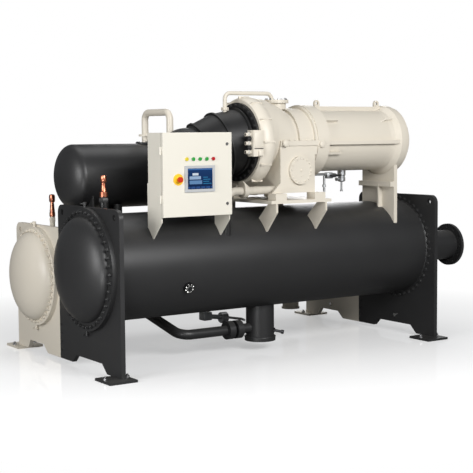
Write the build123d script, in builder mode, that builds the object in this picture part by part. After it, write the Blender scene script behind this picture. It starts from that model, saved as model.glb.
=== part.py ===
from build123d import *
from math import cos, radians, sin, sqrt
import os

os.makedirs("parts", exist_ok=True)

# All sizes are in millimetres. X runs along the machine, from the domed heads to the water
# connections, Y from the cabinet side to the condenser side, Z is up. The origin is on the
# floor, under the middle of the bounding box.

# What two neighbours on one body leave between curved faces
SEAT = 0.3

# Evaporator, the front vessel
SHELL_LENGTH = 3164
SHEET_T = 36
EVAP_SHEET_W = 1063
EVAP_SHEET_TOP = 1304
EVAP_R = 430
EVAP_WALL = 32
EVAP_Z = 813
EVAP_FLANGE_R = 488
EVAP_RIM_R = 420
EVAP_DOME = 163

# Condenser, the rear vessel
COND_SHEET_W = 852
COND_SHEET_TOP = 1110
COND_R = 362
COND_WALL = 12
COND_Z = 673
COND_FLANGE_R = 422
COND_RIM_R = 378
COND_DOME = 149

# Heads and water connections
HEAD_FLANGE_T = 40
HEAD_WALL = 16
NOZZLE_R = 136
NOZZLE_BORE_R = 128
NOZZLE_FLANGE_R = 195
NOZZLE_FLANGE_T = 30
NOZZLE_REACH = 458
NOZZLE_SPACING = 410
NOZZLE_BOLT_R = 170
NOZZLE_BOLT_HOLE_R = 13
NOZZLE_BOLTS = 12

# Sheet outline: legs, notches and lifting holes
SHEET_CORNER_R = 70
LEG_W = 240
NOTCH_FROM = 320
NOTCH_TO = 768
NOTCH_RISE = 92
TAB_FROM = 835
TAB_CLEAR = 27
COND_TAB_TO = 250
COND_NOTCH_FROM = 330
COND_NOTCH_TO = 600
COND_LEG_W = 200
LIFT_HOLE_R = 24
LIFT_HOLE_IN = 82
LIFT_HOLE_DOWN = 62

# Feet
FOOT_X = 236
FOOT_Y = 250
FOOT_T = 20
FRONT_FOOT_SHIFT = 38
REAR_FOOT_SHIFT = -30
FRONT_FOOT_OVERHANG = 75
REAR_FOOT_OVERHANG = 110
ANCHOR_R = 11
ANCHOR_SPACING = 190

# Economizer, the small vessel between the two big ones
ECON_BEHIND_JOINT = 7
ECON_Z = 1524
ECON_R = 268
ECON_WALL = 8
ECON_FROM = 150
ECON_LENGTH = 1042
ECON_DOME = 125
SADDLE_T = 16
SADDLE_IN = 60
SADDLE_SPACING = 820
SADDLE_W = 440

# Compressor's place: its axis, and its inlet face measured from the right tube sheet's inside
COMP_Y = 400
COMP_Z = 1800
VOLUTE_FROM_RIGHT = 1854

# Suction header and its mitred elbow
HEADER_R = 240
HEADER_Y = 500
HEADER_TOP = 1920
HEADER_BEFORE = 450
HEADER_LENGTH = 339
NECK_R = 165
ELBOW_REACH = 20
ELBOW_BEND = 470
ELBOW_R_FROM = 272
ELBOW_R_TO = 215
ELBOW_TURNS = 4
ELBOW_ANGLE = 60
ELBOW_YAW = 24
RIB_T = 16
RIB_OUT = 14
SUCTION_R = 326
SUCTION_T = 24

# Volute: outline radii at their distances from its inlet face, and short ribs across its brow
VOLUTE_NOSE_R = 350
VOLUTE_R = 375
VOLUTE_BROW = 78
VOLUTE_L = 124
VOLUTE_SHOULDER_R = 360
VOLUTE_RIBS = 12
VOLUTE_RIB_T = 12
VOLUTE_RIB_FROM = 8
VOLUTE_RIB_L = 106
VOLUTE_RIB_OUT = 4

# Casing: a hump behind the volute, given as (distance, lift, radius) of its rounds, that narrows
# to a barrel, a split flange and a square lower half
HUMP = ((124, 34, 332), (205, 56, 302), (290, 40, 290), (388, 0, 282))
SPLIT_Z = 1787
SPLIT_T = 42
SPLIT_R = 310
BARREL_R = 282
GROOVE_R = 262
GROOVE_W = 46
CASING_END = 608
CASING_RIM_R = 302
CASING_RIM_T = 24
BLOCK_FROM = 219
BLOCK_TO = 576
BLOCK_W = 600
BLOCK_TAB_H = 97
BLOCK_TAB_T = 24
CASING_BOTTOM = 1375
COVER_X = 200
COVER_Z = 1561
COVER_R = 118
COVER_T = 24
TOP_COVER_X = 391
TOP_COVER_R = 107
TOP_COVER_NECK_R = 84
TOP_COVER_Z = 2124
TOP_COVER_T = 28

# Motor: two flange rings, barrel with rails and short ribs, end ring and cover
RING_R = 310
RING_T = 62
MOTOR_R = 264
MOTOR_L = 810
FLARE_L = 84
FLARE_R = 288
END_RING_R = 310
END_RING_T = 50
END_COVER_T = 74
END_COVER_R = 298
END_COVER_EDGE = 34
RAIL_H = 36
RAIL_T = 34
RAIL_W = 44
STUB_RIB_L = 150
STUB_RIB_T = 20
STUB_RIB_OUT = 30
STUB_RIB_ANGLES = (39, 141, 201, 339)
EYE_R = 28
EYE_HOLE_R = 13
EYE_T = 20
EYE_FROM = 92
EYE_SPACING = 675

# Base plate with pads, the struts that carry it, and the support under the motor
BASE_T = 26
BASE_TOP = 1318
BASE_FROM = 78
BASE_L = 620
BASE_HALF = 370
PAD_W = 112
PAD_FROM = 122
PAD_TO = 634
LUG_T = 20
LUG_H = 84
STRUT_T = 18
STRUT_W = 112
STRUT_IN = 46
STRUT_DROP = 72
STRUT_TIP_ANGLE = 33.6
STRUT_HEEL_ANGLE = 55.4
STRUT_SINK = 20
FOOT_BEFORE_END = 14
FOOT_PLATE_T = 36
FOOT_HALF = 220
FOOT_FLANGE_T = 22
FOOT_FLANGE_OUT = 44
MOTOR_FOOT_Z = 1410
SUPPORT_PLATE_T = 24
SUPPORT_RIB_L = 46
SUPPORT_RIB_T = 18
SUPPORT_RIB_Y = 340

# Control cabinet, its door and what the door carries
CAB_BEFORE = 956
CAB_W = 632
CAB_H = 652
CAB_D = 200
CAB_Z = 1230
CAB_WALL = 3
CAB_LIP = 22
DOOR_Y = 10
DOOR_T = 24
DOOR_WALL = 3
DOOR_GAP = 5
HINGE_OUT = 9
HINGE_R = 7
HINGE_PIN_R = 3
HINGE_PLAY = 0.5
HINGE_L = 60
HINGE_CUT = 1
HINGE_PIN_SHORT = 4
HINGE_IN = 110
LEAF_T = 3
LEAF_OFF = 2
LEAF_L = 26
BUTTON_X = 136
BUTTON_UP = 289
BUTTON_R = 11
BUTTON_CLEAR = 1
BUTTON_BEHIND = 20
CAP_R = 22
CAP_GAP = 20
CAP_T = 18
COLLAR_R = 45
COLLAR_T = 3
BOSS_R = 20
BOSS_T = 10
SCREEN_X = 193
SCREEN_UP = 189
SCREEN_W = 273
SCREEN_H = 205
SCREEN_T = 12
LAMPS = 5
LAMP_R = 14
LAMP_T = 12
LAMP_X = 212
LAMP_PITCH = 61
LAMP_UP = 446
LOCK_R = 13
LOCK_T = 6
LOCK_X = 586
LOCK_LEVELS = (89, 560)
BRACKET_T = 8
BRACKET_DROP = 40
BRACKET_TIP = 130
BRACKET_FALL = 175
BRACKET_BACK = 15
BRACKET_UP = 260

# Pipes above: discharge, oil line, economizer pipe, balance pipe and the vane actuator's box
DISCHARGE_X = 375
DISCHARGE_Z = 1470
DISCHARGE_R = 100
DISCHARGE_BEND = 190
DISCHARGE_FLANGE_R = 140
DISCHARGE_FLANGE_T = 30
OIL_Y = 200
OIL_Z = 1400
OIL_R = 34
OIL_TO = 250
OIL_BEND = 80
OIL_FLANGE_R = 56
OIL_FLANGE_T = 40
OIL_FLANGE_X = 100
U_BEFORE_HEADER = 58
U_PIPE_R = 29
U_PIPE_TOP = 2052
U_PIPE_BEND = 64
U_FLANGE_R = 55
U_FLANGE_T = 18
U_FLANGE_UP = 60
BALANCE_R = 17
BALANCE_TOP = 2205
BALANCE_BEND = 51
BALANCE_BEFORE = 104
BALANCE_AFTER = 346
ACT_Y = 28
ACT_D = 84
ACT_Z = 1685
ACT_H = 212
ACT_W = 100
GLANDS = 3
GLAND_R = 15
GLAND_L = 52

# Pipes below: liquid line, float chamber and condenser sump
DRUM_X = 1650
DRUM_R = 122
DRUM_BOTTOM = 82
DRUM_FLANGE_R = 134
DRUM_FLANGE_T = 30
LINE_X = 847
LINE_Z = 197
LINE_R = 42
LINE_RISE = 0.212
LINE_BEND = 100
LINE_FLANGE_R = 78
LINE_FLANGE_X = 1295
LINE_FLANGE_T = 58
LINE_FLANGE_PITCH = 86
SUMP_X = 2685
SUMP_R = 79
SUMP_Z = 155
SUMP_FLANGE_R = 88
SUMP_FLANGE_T = 18

# Sight glass and relief valves
GLASS_X = 675
GLASS_Z = 661
GLASS_R = 42
GLASS_OUT = 18
RELIEF_X = 150
EVAP_VALVE_R = 34
EVAP_VALVE_H = 175
COND_VALVE_R = 22
COND_VALVE_H = 195
VALVE_STEM = 130

# How deep a piece starts inside the shell that it is then cut to, as a share of the radius
SUNK = 0.9

# Places worked out from the sizes above
left_tip = max(HEAD_FLANGE_T + EVAP_DOME, HEAD_FLANGE_T + COND_DOME, FOOT_X / 2 + FRONT_FOOT_SHIFT)
overall_length = left_tip + 2 * SHEET_T + SHELL_LENGTH + NOZZLE_REACH
overall_width = FRONT_FOOT_OVERHANG + EVAP_SHEET_W + COND_SHEET_W + REAR_FOOT_OVERHANG
x0 = left_tip - overall_length / 2
y0 = FRONT_FOOT_OVERHANG - overall_width / 2
shell_x = x0 + SHEET_T
right_sheet_x = shell_x + SHELL_LENGTH
right_face_x = right_sheet_x + SHEET_T
evap_y = y0 + EVAP_SHEET_W / 2
cond_edge_y = y0 + EVAP_SHEET_W
cond_y = cond_edge_y + COND_SHEET_W / 2
back_y = cond_edge_y + COND_SHEET_W
econ_x = x0 + ECON_FROM
econ_y = cond_edge_y + ECON_BEHIND_JOINT
comp_y = y0 + COMP_Y
volute_x = right_sheet_x - VOLUTE_FROM_RIGHT
header_x = volute_x - HEADER_BEFORE
header_y = y0 + HEADER_Y
header_z = HEADER_TOP - HEADER_R
disc_x = volute_x - SUCTION_T
ring_x = volute_x + CASING_END
motor_x = ring_x + 2 * RING_T
end_ring_x = motor_x + MOTOR_L
end_cover_x = end_ring_x + END_RING_T
cab_x = volute_x - CAB_BEFORE
door_y = y0 + DOOR_Y
cab_y = door_y + DOOR_T + DOOR_GAP
cab_back = cab_y + CAB_D
drum_x = x0 + DRUM_X


def beside(origin, side=1):
    """A sketch plane through a point: its x runs to one side along the machine, its y is up."""
    return Plane(origin=origin, x_dir=(side, 0, 0), z_dir=(0, -side, 0))


def rod(start, axis, radius, length, mode=Mode.ADD):
    """A round bar from a point along an axis."""
    with BuildSketch(Plane(origin=start, z_dir=axis), mode=Mode.PRIVATE) as section:
        Circle(radius)
    extrude(section.sketch, amount=length, mode=mode)


def turned(origin, points):
    """A closed outline of (distance along X, radius) points turned about the X axis."""
    with BuildSketch(beside(origin), mode=Mode.PRIVATE) as outline:
        with BuildLine():
            Polyline(*points, close=True)
        make_face()
    revolve(outline.sketch, axis=Axis(origin, (1, 0, 0)))


def outward(angle):
    """A way out from the compressor's axis: 0 is to the front, 90 is up."""
    return (0, -cos(radians(angle)), sin(radians(angle)))


def radial_bar(start_x, length, thickness, angle, radius):
    """A bar along the compressor's axis that stands out from it to a radius."""
    foot = Plane(origin=(start_x, comp_y, COMP_Z), x_dir=(1, 0, 0), z_dir=outward(angle))
    with BuildSketch(foot, mode=Mode.PRIVATE) as section:
        with Locations((length / 2, 0)):
            Rectangle(length, thickness)
    extrude(section.sketch, amount=radius)


def block(low, high, mode=Mode.ADD):
    """A box from its lowest to its highest corner."""
    with Locations(low):
        Box(high[0] - low[0], high[1] - low[1], high[2] - low[2], align=(Align.MIN,) * 3, mode=mode)


def plate(x, thickness, points):
    """A plate square to the X axis with an outline of (y, z) points."""
    with BuildSketch(Plane.YZ.offset(x), mode=Mode.PRIVATE) as outline:
        with BuildLine():
            Polyline(*points, close=True)
        make_face()
    extrude(outline.sketch, amount=thickness)


def tube(points, radius, bend):
    """A round pipe along a line with rounded corners."""
    with BuildLine(mode=Mode.PRIVATE) as path:
        FilletPolyline(*points, radius=bend)
    first = Vector(*points[1]) - Vector(*points[0])
    with BuildSketch(Plane(origin=points[0], z_dir=first), mode=Mode.PRIVATE) as section:
        Circle(radius)
    sweep(section.sketch, path=path.wires()[0])


def round_at(centre, direction, radius):
    """A round section for a lofted pipe."""
    with BuildSketch(Plane(origin=centre, z_dir=direction), mode=Mode.PRIVATE) as section:
        Circle(radius)
    return section.sketch


def hump(gap=0, mode=Mode.ADD):
    """The casing's hump, from round to round."""
    sections = [((volute_x + distance, comp_y, COMP_Z + lift), radius) for distance, lift, radius in HUMP]
    for start, end in zip(sections, sections[1:]):
        loft([round_at(start[0], (1, 0, 0), start[1] + gap), round_at(end[0], (1, 0, 0), end[1] + gap)],
             mode=mode)


def keep(part, name):
    """Label a finished piece and write it."""
    part.label = name
    export_step(part, f"parts/{name}.step")


def cut_evaporator():
    """Fit a piece to the evaporator's outside."""
    rod((shell_x, evap_y, EVAP_Z), (1, 0, 0), EVAP_R + SEAT, SHELL_LENGTH, mode=Mode.SUBTRACT)


def cut_condenser():
    """Fit a piece to the condenser's outside."""
    rod((shell_x, cond_y, COND_Z), (1, 0, 0), COND_R + SEAT, SHELL_LENGTH, mode=Mode.SUBTRACT)


def on_evaporator(angle):
    """A (y, z) point just under the evaporator's outside: 0 is its front, 90 its top."""
    reach = EVAP_R - STRUT_SINK
    return (evap_y - reach * cos(radians(angle)), EVAP_Z + reach * sin(radians(angle)))


def bulge(origin, side, radius, depth, mode=Mode.ADD):
    """Half an ellipsoid on the X axis through origin, bulging towards side."""
    with BuildSketch(beside(origin, side), mode=Mode.PRIVATE) as outline:
        with BuildLine():
            rim = EllipticalCenterArc((0, 0), depth, radius, 0, arc_size=90)
            Polyline(rim @ 1, (0, 0), rim @ 0)
        make_face()
    revolve(outline.sketch, axis=Axis(origin, (1, 0, 0)), mode=mode)


def dome(origin, side, flange_r, rim_r, depth):
    """A flanged, dished head on the X axis through origin, bulging towards side."""
    with BuildSketch(beside(origin, side), mode=Mode.PRIVATE) as outline:
        with BuildLine():
            outer = EllipticalCenterArc((HEAD_FLANGE_T, 0), depth, rim_r, 0, arc_size=90)
            inner = EllipticalCenterArc((HEAD_FLANGE_T, 0), depth - HEAD_WALL, rim_r - HEAD_WALL, 0,
                                        arc_size=90)
            Line(outer @ 0, inner @ 0)
            Polyline(outer @ 1, (HEAD_FLANGE_T, flange_r), (0, flange_r), (0, rim_r - HEAD_WALL),
                     inner @ 1)
        make_face()
    revolve(outline.sketch, axis=Axis(origin, (1, 0, 0)))


def nozzle_mouths(origin):
    """Centres of the two water connections' faces, side by side on a right head."""
    return [(origin[0] + NOZZLE_REACH, origin[1] + side * NOZZLE_SPACING / 2, origin[2])
            for side in (-1, 1)]


def nozzles(origin, rim_r, depth):
    """The two flanged pipe ends that stand on a right head's dome."""
    for mouth in nozzle_mouths(origin):
        rod(mouth, (-1, 0, 0), NOZZLE_R, NOZZLE_REACH - HEAD_FLANGE_T)
        rod(mouth, (-1, 0, 0), NOZZLE_FLANGE_R, NOZZLE_FLANGE_T)
        rod(mouth, (-1, 0, 0), NOZZLE_BORE_R, NOZZLE_REACH, mode=Mode.SUBTRACT)
        with BuildSketch(Plane(origin=mouth, z_dir=(-1, 0, 0)), mode=Mode.PRIVATE) as bolts:
            with PolarLocations(NOZZLE_BOLT_R, NOZZLE_BOLTS):
                Circle(NOZZLE_BOLT_HOLE_R)
        extrude(bolts.sketch, amount=NOZZLE_FLANGE_T, mode=Mode.SUBTRACT)
    rim = (origin[0] + HEAD_FLANGE_T, origin[1], origin[2])
    bulge(rim, 1, rim_r + SEAT, depth + SEAT, mode=Mode.SUBTRACT)


# Shells: hollow, from sheet to sheet
with BuildPart() as evaporator_shell:
    rod((shell_x, evap_y, EVAP_Z), (1, 0, 0), EVAP_R, SHELL_LENGTH)
    rod((shell_x, evap_y, EVAP_Z), (1, 0, 0), EVAP_R - EVAP_WALL, SHELL_LENGTH, mode=Mode.SUBTRACT)
keep(evaporator_shell.part, "evaporator_shell")

with BuildPart() as condenser_shell:
    rod((shell_x, cond_y, COND_Z), (1, 0, 0), COND_R, SHELL_LENGTH)
    rod((shell_x, cond_y, COND_Z), (1, 0, 0), COND_R - COND_WALL, SHELL_LENGTH, mode=Mode.SUBTRACT)
keep(condenser_shell.part, "condenser_shell")

# Tube sheets: thick end plates whose lower corners are the machine's legs
for side, sheet_x in (("left", x0), ("right", right_sheet_x)):
    with BuildPart() as evaporator_tube_sheet:
        plate(sheet_x, SHEET_T, [
            (y0, FOOT_T), (y0 + LEG_W, FOOT_T), (y0 + NOTCH_FROM, NOTCH_RISE),
            (y0 + NOTCH_TO, NOTCH_RISE), (y0 + TAB_FROM, TAB_CLEAR), (cond_edge_y, TAB_CLEAR),
            (cond_edge_y, EVAP_SHEET_TOP), (y0, EVAP_SHEET_TOP)])
        corners = evaporator_tube_sheet.edges().filter_by(Axis.X).group_by(Axis.Z)[-1]
        fillet(corners, SHEET_CORNER_R)
        for hole_y in (y0 + LIFT_HOLE_IN, cond_edge_y - LIFT_HOLE_IN):
            rod((sheet_x, hole_y, EVAP_SHEET_TOP - LIFT_HOLE_DOWN), (1, 0, 0), LIFT_HOLE_R, SHEET_T,
                mode=Mode.SUBTRACT)
    keep(evaporator_tube_sheet.part, f"evaporator_tube_sheet_{side}")

    with BuildPart() as condenser_tube_sheet:
        plate(sheet_x, SHEET_T, [
            (cond_edge_y, TAB_CLEAR), (cond_edge_y + COND_TAB_TO, TAB_CLEAR),
            (cond_edge_y + COND_NOTCH_FROM, NOTCH_RISE), (cond_edge_y + COND_NOTCH_TO, NOTCH_RISE),
            (back_y - COND_LEG_W, FOOT_T), (back_y, FOOT_T), (back_y, COND_SHEET_TOP),
            (cond_edge_y, COND_SHEET_TOP)])
        outer = condenser_tube_sheet.edges().filter_by(Axis.X).group_by(Axis.Z)[-1].sort_by(Axis.Y)[-1]
        fillet(outer, SHEET_CORNER_R)
        rod((sheet_x, back_y - LIFT_HOLE_IN, COND_SHEET_TOP - LIFT_HOLE_DOWN), (1, 0, 0), LIFT_HOLE_R,
            SHEET_T, mode=Mode.SUBTRACT)
    keep(condenser_tube_sheet.part, f"condenser_tube_sheet_{side}")

# Domed heads on the left, heads with the water connections on the right
for name, vessel_y, vessel_z, flange_r, rim_r, depth in (
        ("evaporator", evap_y, EVAP_Z, EVAP_FLANGE_R, EVAP_RIM_R, EVAP_DOME),
        ("condenser", cond_y, COND_Z, COND_FLANGE_R, COND_RIM_R, COND_DOME)):
    with BuildPart() as head:
        dome((x0, vessel_y, vessel_z), -1, flange_r, rim_r, depth)
    keep(head.part, f"{name}_head")

    origin = (right_face_x, vessel_y, vessel_z)
    with BuildPart() as water_head:
        dome(origin, 1, flange_r, rim_r, depth)
        for mouth in nozzle_mouths(origin):
            rod(mouth, (-1, 0, 0), NOZZLE_BORE_R, NOZZLE_REACH, mode=Mode.SUBTRACT)
    keep(water_head.part, f"{name}_water_head")

    with BuildPart() as water_nozzles:
        nozzles(origin, rim_r, depth)
    keep(water_nozzles.part, f"{name}_nozzles")

# Foot plates under the four legs
for name, foot_y, shift in (("front", y0 - FRONT_FOOT_OVERHANG, FRONT_FOOT_SHIFT),
                            ("rear", back_y + REAR_FOOT_OVERHANG - FOOT_Y, REAR_FOOT_SHIFT)):
    with BuildPart() as foot_plates:
        for sheet_x in (x0, right_sheet_x):
            centre = (sheet_x + SHEET_T / 2 - shift, foot_y + FOOT_Y / 2, 0)
            with Locations(centre):
                Box(FOOT_X, FOOT_Y, FOOT_T, align=(Align.CENTER, Align.CENTER, Align.MIN))
            with Locations((centre[0] - ANCHOR_SPACING / 2, centre[1], FOOT_T),
                           (centre[0] + ANCHOR_SPACING / 2, centre[1], FOOT_T)):
                Hole(ANCHOR_R, depth=FOOT_T)
    keep(foot_plates.part, f"{name}_foot_plates")

# Economizer vessel with two dished ends, on saddles between the shells
with BuildPart() as economizer_shell:
    rod((econ_x, econ_y, ECON_Z), (1, 0, 0), ECON_R, ECON_LENGTH)
    rod((econ_x, econ_y, ECON_Z), (1, 0, 0), ECON_R - ECON_WALL, ECON_LENGTH, mode=Mode.SUBTRACT)
keep(economizer_shell.part, "economizer_shell")

for name, end_x, side in (("left", econ_x, -1), ("right", econ_x + ECON_LENGTH, 1)):
    with BuildPart() as economizer_end:
        bulge((end_x, econ_y, ECON_Z), side, ECON_R, ECON_DOME)
        bulge((end_x, econ_y, ECON_Z), side, ECON_R - ECON_WALL, ECON_DOME - ECON_WALL,
              mode=Mode.SUBTRACT)
    keep(economizer_end.part, f"economizer_end_{name}")

with BuildPart() as economizer_saddles:
    for saddle_x in (econ_x + SADDLE_IN, econ_x + SADDLE_IN + SADDLE_SPACING):
        block((saddle_x, econ_y - SADDLE_W / 2, COND_Z), (saddle_x + SADDLE_T, econ_y + SADDLE_W / 2, ECON_Z))
        block((saddle_x, econ_y - SADDLE_W / 2, COND_Z),
              (saddle_x + SADDLE_T, econ_y + SADDLE_W / 2, EVAP_Z + EVAP_R / 2), mode=Mode.SUBTRACT)
    cut_evaporator()
    cut_condenser()
    rod((econ_x, econ_y, ECON_Z), (1, 0, 0), ECON_R + SEAT, ECON_LENGTH, mode=Mode.SUBTRACT)
keep(economizer_saddles.part, "economizer_saddles")

# Suction header: a domed pipe on a neck from the evaporator's top, with a mitred elbow that
# climbs from it to the compressor's inlet
elbow_x = disc_x - ELBOW_REACH
elbow_yaw = radians(ELBOW_YAW)
rings = []
for step in range(ELBOW_TURNS + 1):
    share = step / ELBOW_TURNS
    turn = radians(ELBOW_ANGLE) * share
    ring_radius = ELBOW_R_FROM + (ELBOW_R_TO - ELBOW_R_FROM) * share
    direction = (-cos(turn) * cos(elbow_yaw * share), cos(turn) * sin(elbow_yaw * share), -sin(turn))
    reach = ELBOW_BEND * sin(turn)
    centre = (elbow_x - reach * cos(elbow_yaw), comp_y + reach * sin(elbow_yaw),
              COMP_Z - ELBOW_BEND * (1 - cos(turn)))
    rings.append((centre, direction, ring_radius))
with BuildPart() as suction_header:
    rod((header_x, header_y, header_z), (1, 0, 0), HEADER_R, HEADER_LENGTH)
    with Locations((header_x, header_y, header_z)):
        Sphere(HEADER_R)
    rod((header_x, header_y, EVAP_Z), (0, 0, 1), NECK_R, header_z - EVAP_Z)
    cut_evaporator()
    for start, end in zip(rings, rings[1:]):
        loft([round_at(*start), round_at(*end)])
    for centre, direction, ring_radius in rings[:-1]:
        rod(centre, direction, ring_radius + RIB_OUT, RIB_T)
    rod((disc_x, comp_y, COMP_Z), (-1, 0, 0), ELBOW_R_FROM, ELBOW_REACH)
keep(suction_header.part, "suction_header")

with BuildPart() as suction_cover:
    rod((disc_x, comp_y, COMP_Z), (1, 0, 0), SUCTION_R, SUCTION_T)
keep(suction_cover.part, "suction_cover")

# Volute: a scroll casing turned about the compressor's axis, with short ribs across its brow
volute_axis = (volute_x, comp_y, COMP_Z)
with BuildPart() as volute:
    with BuildSketch(beside(volute_axis)) as outline:
        with BuildLine():
            Line((0, 0), (0, VOLUTE_NOSE_R))
            ThreePointArc((0, VOLUTE_NOSE_R), (VOLUTE_BROW, VOLUTE_R), (VOLUTE_L, VOLUTE_SHOULDER_R))
            Polyline((VOLUTE_L, VOLUTE_SHOULDER_R), (VOLUTE_L, 0), (0, 0))
        make_face()
    revolve(axis=Axis(volute_axis, (1, 0, 0)))
    for rib in range(VOLUTE_RIBS):
        radial_bar(volute_x + VOLUTE_RIB_FROM, VOLUTE_RIB_L, VOLUTE_RIB_T, rib * 360 / VOLUTE_RIBS,
                   VOLUTE_R + VOLUTE_RIB_OUT)
keep(volute.part, "volute")

# Casing: a hump that narrows to a barrel, with a groove and a rim, split at its flange and set
# on a square lower half
block_front = comp_y - BLOCK_W / 2
block_back = comp_y + BLOCK_W / 2
block_x = volute_x + BLOCK_FROM
block_end = volute_x + BLOCK_TO
barrel_end = volute_x + HUMP[-1][0]
with BuildPart() as casing:
    hump()
    rod((barrel_end, comp_y, COMP_Z), (1, 0, 0), GROOVE_R, GROOVE_W)
    rod((barrel_end + GROOVE_W, comp_y, COMP_Z), (1, 0, 0), BARREL_R, ring_x - barrel_end - GROOVE_W)
    rod((ring_x - CASING_RIM_T, comp_y, COMP_Z), (1, 0, 0), CASING_RIM_R, CASING_RIM_T)
    block((block_x, comp_y - SPLIT_R, SPLIT_Z - SPLIT_T / 2), (ring_x, comp_y + SPLIT_R, SPLIT_Z + SPLIT_T / 2))
    block((block_x, block_front, CASING_BOTTOM), (block_end, block_back, SPLIT_Z))
    block((block_end, block_front, SPLIT_Z - BLOCK_TAB_H), (block_end + BLOCK_TAB_T, block_back, SPLIT_Z))
    for lug_y in (block_front, block_back - LUG_T):
        with BuildSketch(Plane.XZ.offset(-lug_y - LUG_T), mode=Mode.PRIVATE) as lug:
            with BuildLine():
                Polyline((block_x, CASING_BOTTOM), (block_x - LUG_H, CASING_BOTTOM),
                         (block_x, CASING_BOTTOM + LUG_H), close=True)
            make_face()
        extrude(lug.sketch, amount=LUG_T)
keep(casing.part, "casing")

with BuildPart() as casing_cover:
    rod((block_x + COVER_X, block_front, COVER_Z), (0, -1, 0), COVER_R, COVER_T)
keep(casing_cover.part, "casing_cover")

top_cover_x = volute_x + TOP_COVER_X
with BuildPart() as top_cover:
    rod((top_cover_x, comp_y, COMP_Z), (0, 0, 1), TOP_COVER_NECK_R, TOP_COVER_Z - COMP_Z)
    rod((top_cover_x, comp_y, TOP_COVER_Z), (0, 0, 1), TOP_COVER_R, TOP_COVER_T)
    hump(SEAT, Mode.SUBTRACT)
    rod((barrel_end, comp_y, COMP_Z), (1, 0, 0), BARREL_R + SEAT, ring_x - barrel_end, mode=Mode.SUBTRACT)
keep(top_cover.part, "top_cover")

# Motor: flange ring, barrel with rails and short ribs, end ring and cover
with BuildPart() as motor_ring:
    rod((ring_x, comp_y, COMP_Z), (1, 0, 0), RING_R, RING_T)
keep(motor_ring.part, "motor_ring")

with BuildPart() as motor_barrel:
    turned((ring_x + RING_T, comp_y, COMP_Z), [
        (0, 0), (0, RING_R), (RING_T, RING_R), (RING_T, MOTOR_R),
        (RING_T + MOTOR_L - FLARE_L, MOTOR_R), (RING_T + MOTOR_L - FLARE_L / 2, FLARE_R - RAIL_H / 2),
        (RING_T + MOTOR_L, END_RING_R), (RING_T + MOTOR_L + END_RING_T, END_RING_R),
        (RING_T + MOTOR_L + END_RING_T, 0)])
    block((motor_x, comp_y - RAIL_W / 2, COMP_Z),
          (end_ring_x, comp_y + RAIL_W / 2, COMP_Z + MOTOR_R + RAIL_H))
    block((motor_x, comp_y - MOTOR_R - RAIL_H, SPLIT_Z - RAIL_T / 2),
          (end_ring_x, comp_y + MOTOR_R + RAIL_H, SPLIT_Z + RAIL_T / 2))
    for angle in STUB_RIB_ANGLES:
        radial_bar(motor_x, STUB_RIB_L, STUB_RIB_T, angle, MOTOR_R + STUB_RIB_OUT)
keep(motor_barrel.part, "motor_barrel")

with BuildPart() as motor_cover:
    turned((end_cover_x, comp_y, COMP_Z), [
        (0, 0), (0, END_COVER_R), (END_COVER_T - END_COVER_EDGE, END_COVER_R),
        (END_COVER_T, END_COVER_R - END_COVER_EDGE), (END_COVER_T, 0)])
keep(motor_cover.part, "motor_cover")

foot_x = end_ring_x - FOOT_BEFORE_END
with BuildPart() as motor_foot:
    block((foot_x, comp_y - FOOT_HALF, MOTOR_FOOT_Z), (foot_x + FOOT_PLATE_T, comp_y + FOOT_HALF, COMP_Z))
    block((foot_x - FOOT_FLANGE_OUT, comp_y - FOOT_HALF, MOTOR_FOOT_Z),
          (foot_x + FOOT_PLATE_T, comp_y + FOOT_HALF, MOTOR_FOOT_Z + FOOT_FLANGE_T))
    rod((motor_x, comp_y, COMP_Z), (1, 0, 0), END_RING_R + SEAT, MOTOR_L + END_RING_T, mode=Mode.SUBTRACT)
keep(motor_foot.part, "motor_foot")

with BuildPart() as lifting_eyes:
    eye_z = COMP_Z + MOTOR_R + RAIL_H
    for eye_x in (motor_x + EYE_FROM, motor_x + EYE_FROM + EYE_SPACING):
        block((eye_x - EYE_R, comp_y - EYE_T / 2, eye_z), (eye_x + EYE_R, comp_y + EYE_T / 2, eye_z + EYE_R))
        rod((eye_x, comp_y - EYE_T / 2, eye_z + EYE_R), (0, 1, 0), EYE_R, EYE_T)
        rod((eye_x, comp_y - EYE_T / 2, eye_z + EYE_R), (0, 1, 0), EYE_HOLE_R, EYE_T, mode=Mode.SUBTRACT)
keep(lifting_eyes.part, "lifting_eyes")

# Base plate with pads, and the struts that carry it on the evaporator
base_x = volute_x + BASE_FROM
base_bottom = BASE_TOP - BASE_T
base_front = comp_y - BASE_HALF
base_back = comp_y + BASE_HALF
with BuildPart() as compressor_base:
    block((base_x, base_front, base_bottom), (base_x + BASE_L, base_back, BASE_TOP))
    for pad_x in (volute_x + PAD_FROM, volute_x + PAD_TO - PAD_W):
        for pad_y in (base_front, base_back - PAD_W):
            block((pad_x, pad_y, BASE_TOP), (pad_x + PAD_W, pad_y + PAD_W, CASING_BOTTOM))
keep(compressor_base.part, "compressor_base")


strut_tip = on_evaporator(STRUT_TIP_ANGLE)
strut_heel = on_evaporator(STRUT_HEEL_ANGLE)
shell_back_z = EVAP_Z + sqrt(EVAP_R ** 2 - (base_back - evap_y) ** 2) / 2
with BuildPart() as compressor_struts:
    for strut_x in (base_x + STRUT_IN, base_x + BASE_L - STRUT_IN - STRUT_T):
        plate(strut_x, STRUT_T, [
            (base_front, base_bottom), (base_front, base_bottom - STRUT_DROP), strut_tip, strut_heel,
            (base_front + STRUT_W, base_bottom)])
        plate(strut_x, STRUT_T, [
            (base_back, base_bottom), (base_back, shell_back_z), (base_back - STRUT_W, shell_back_z),
            (base_back - STRUT_W, base_bottom)])
    cut_evaporator()
keep(compressor_struts.part, "compressor_struts")

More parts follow.
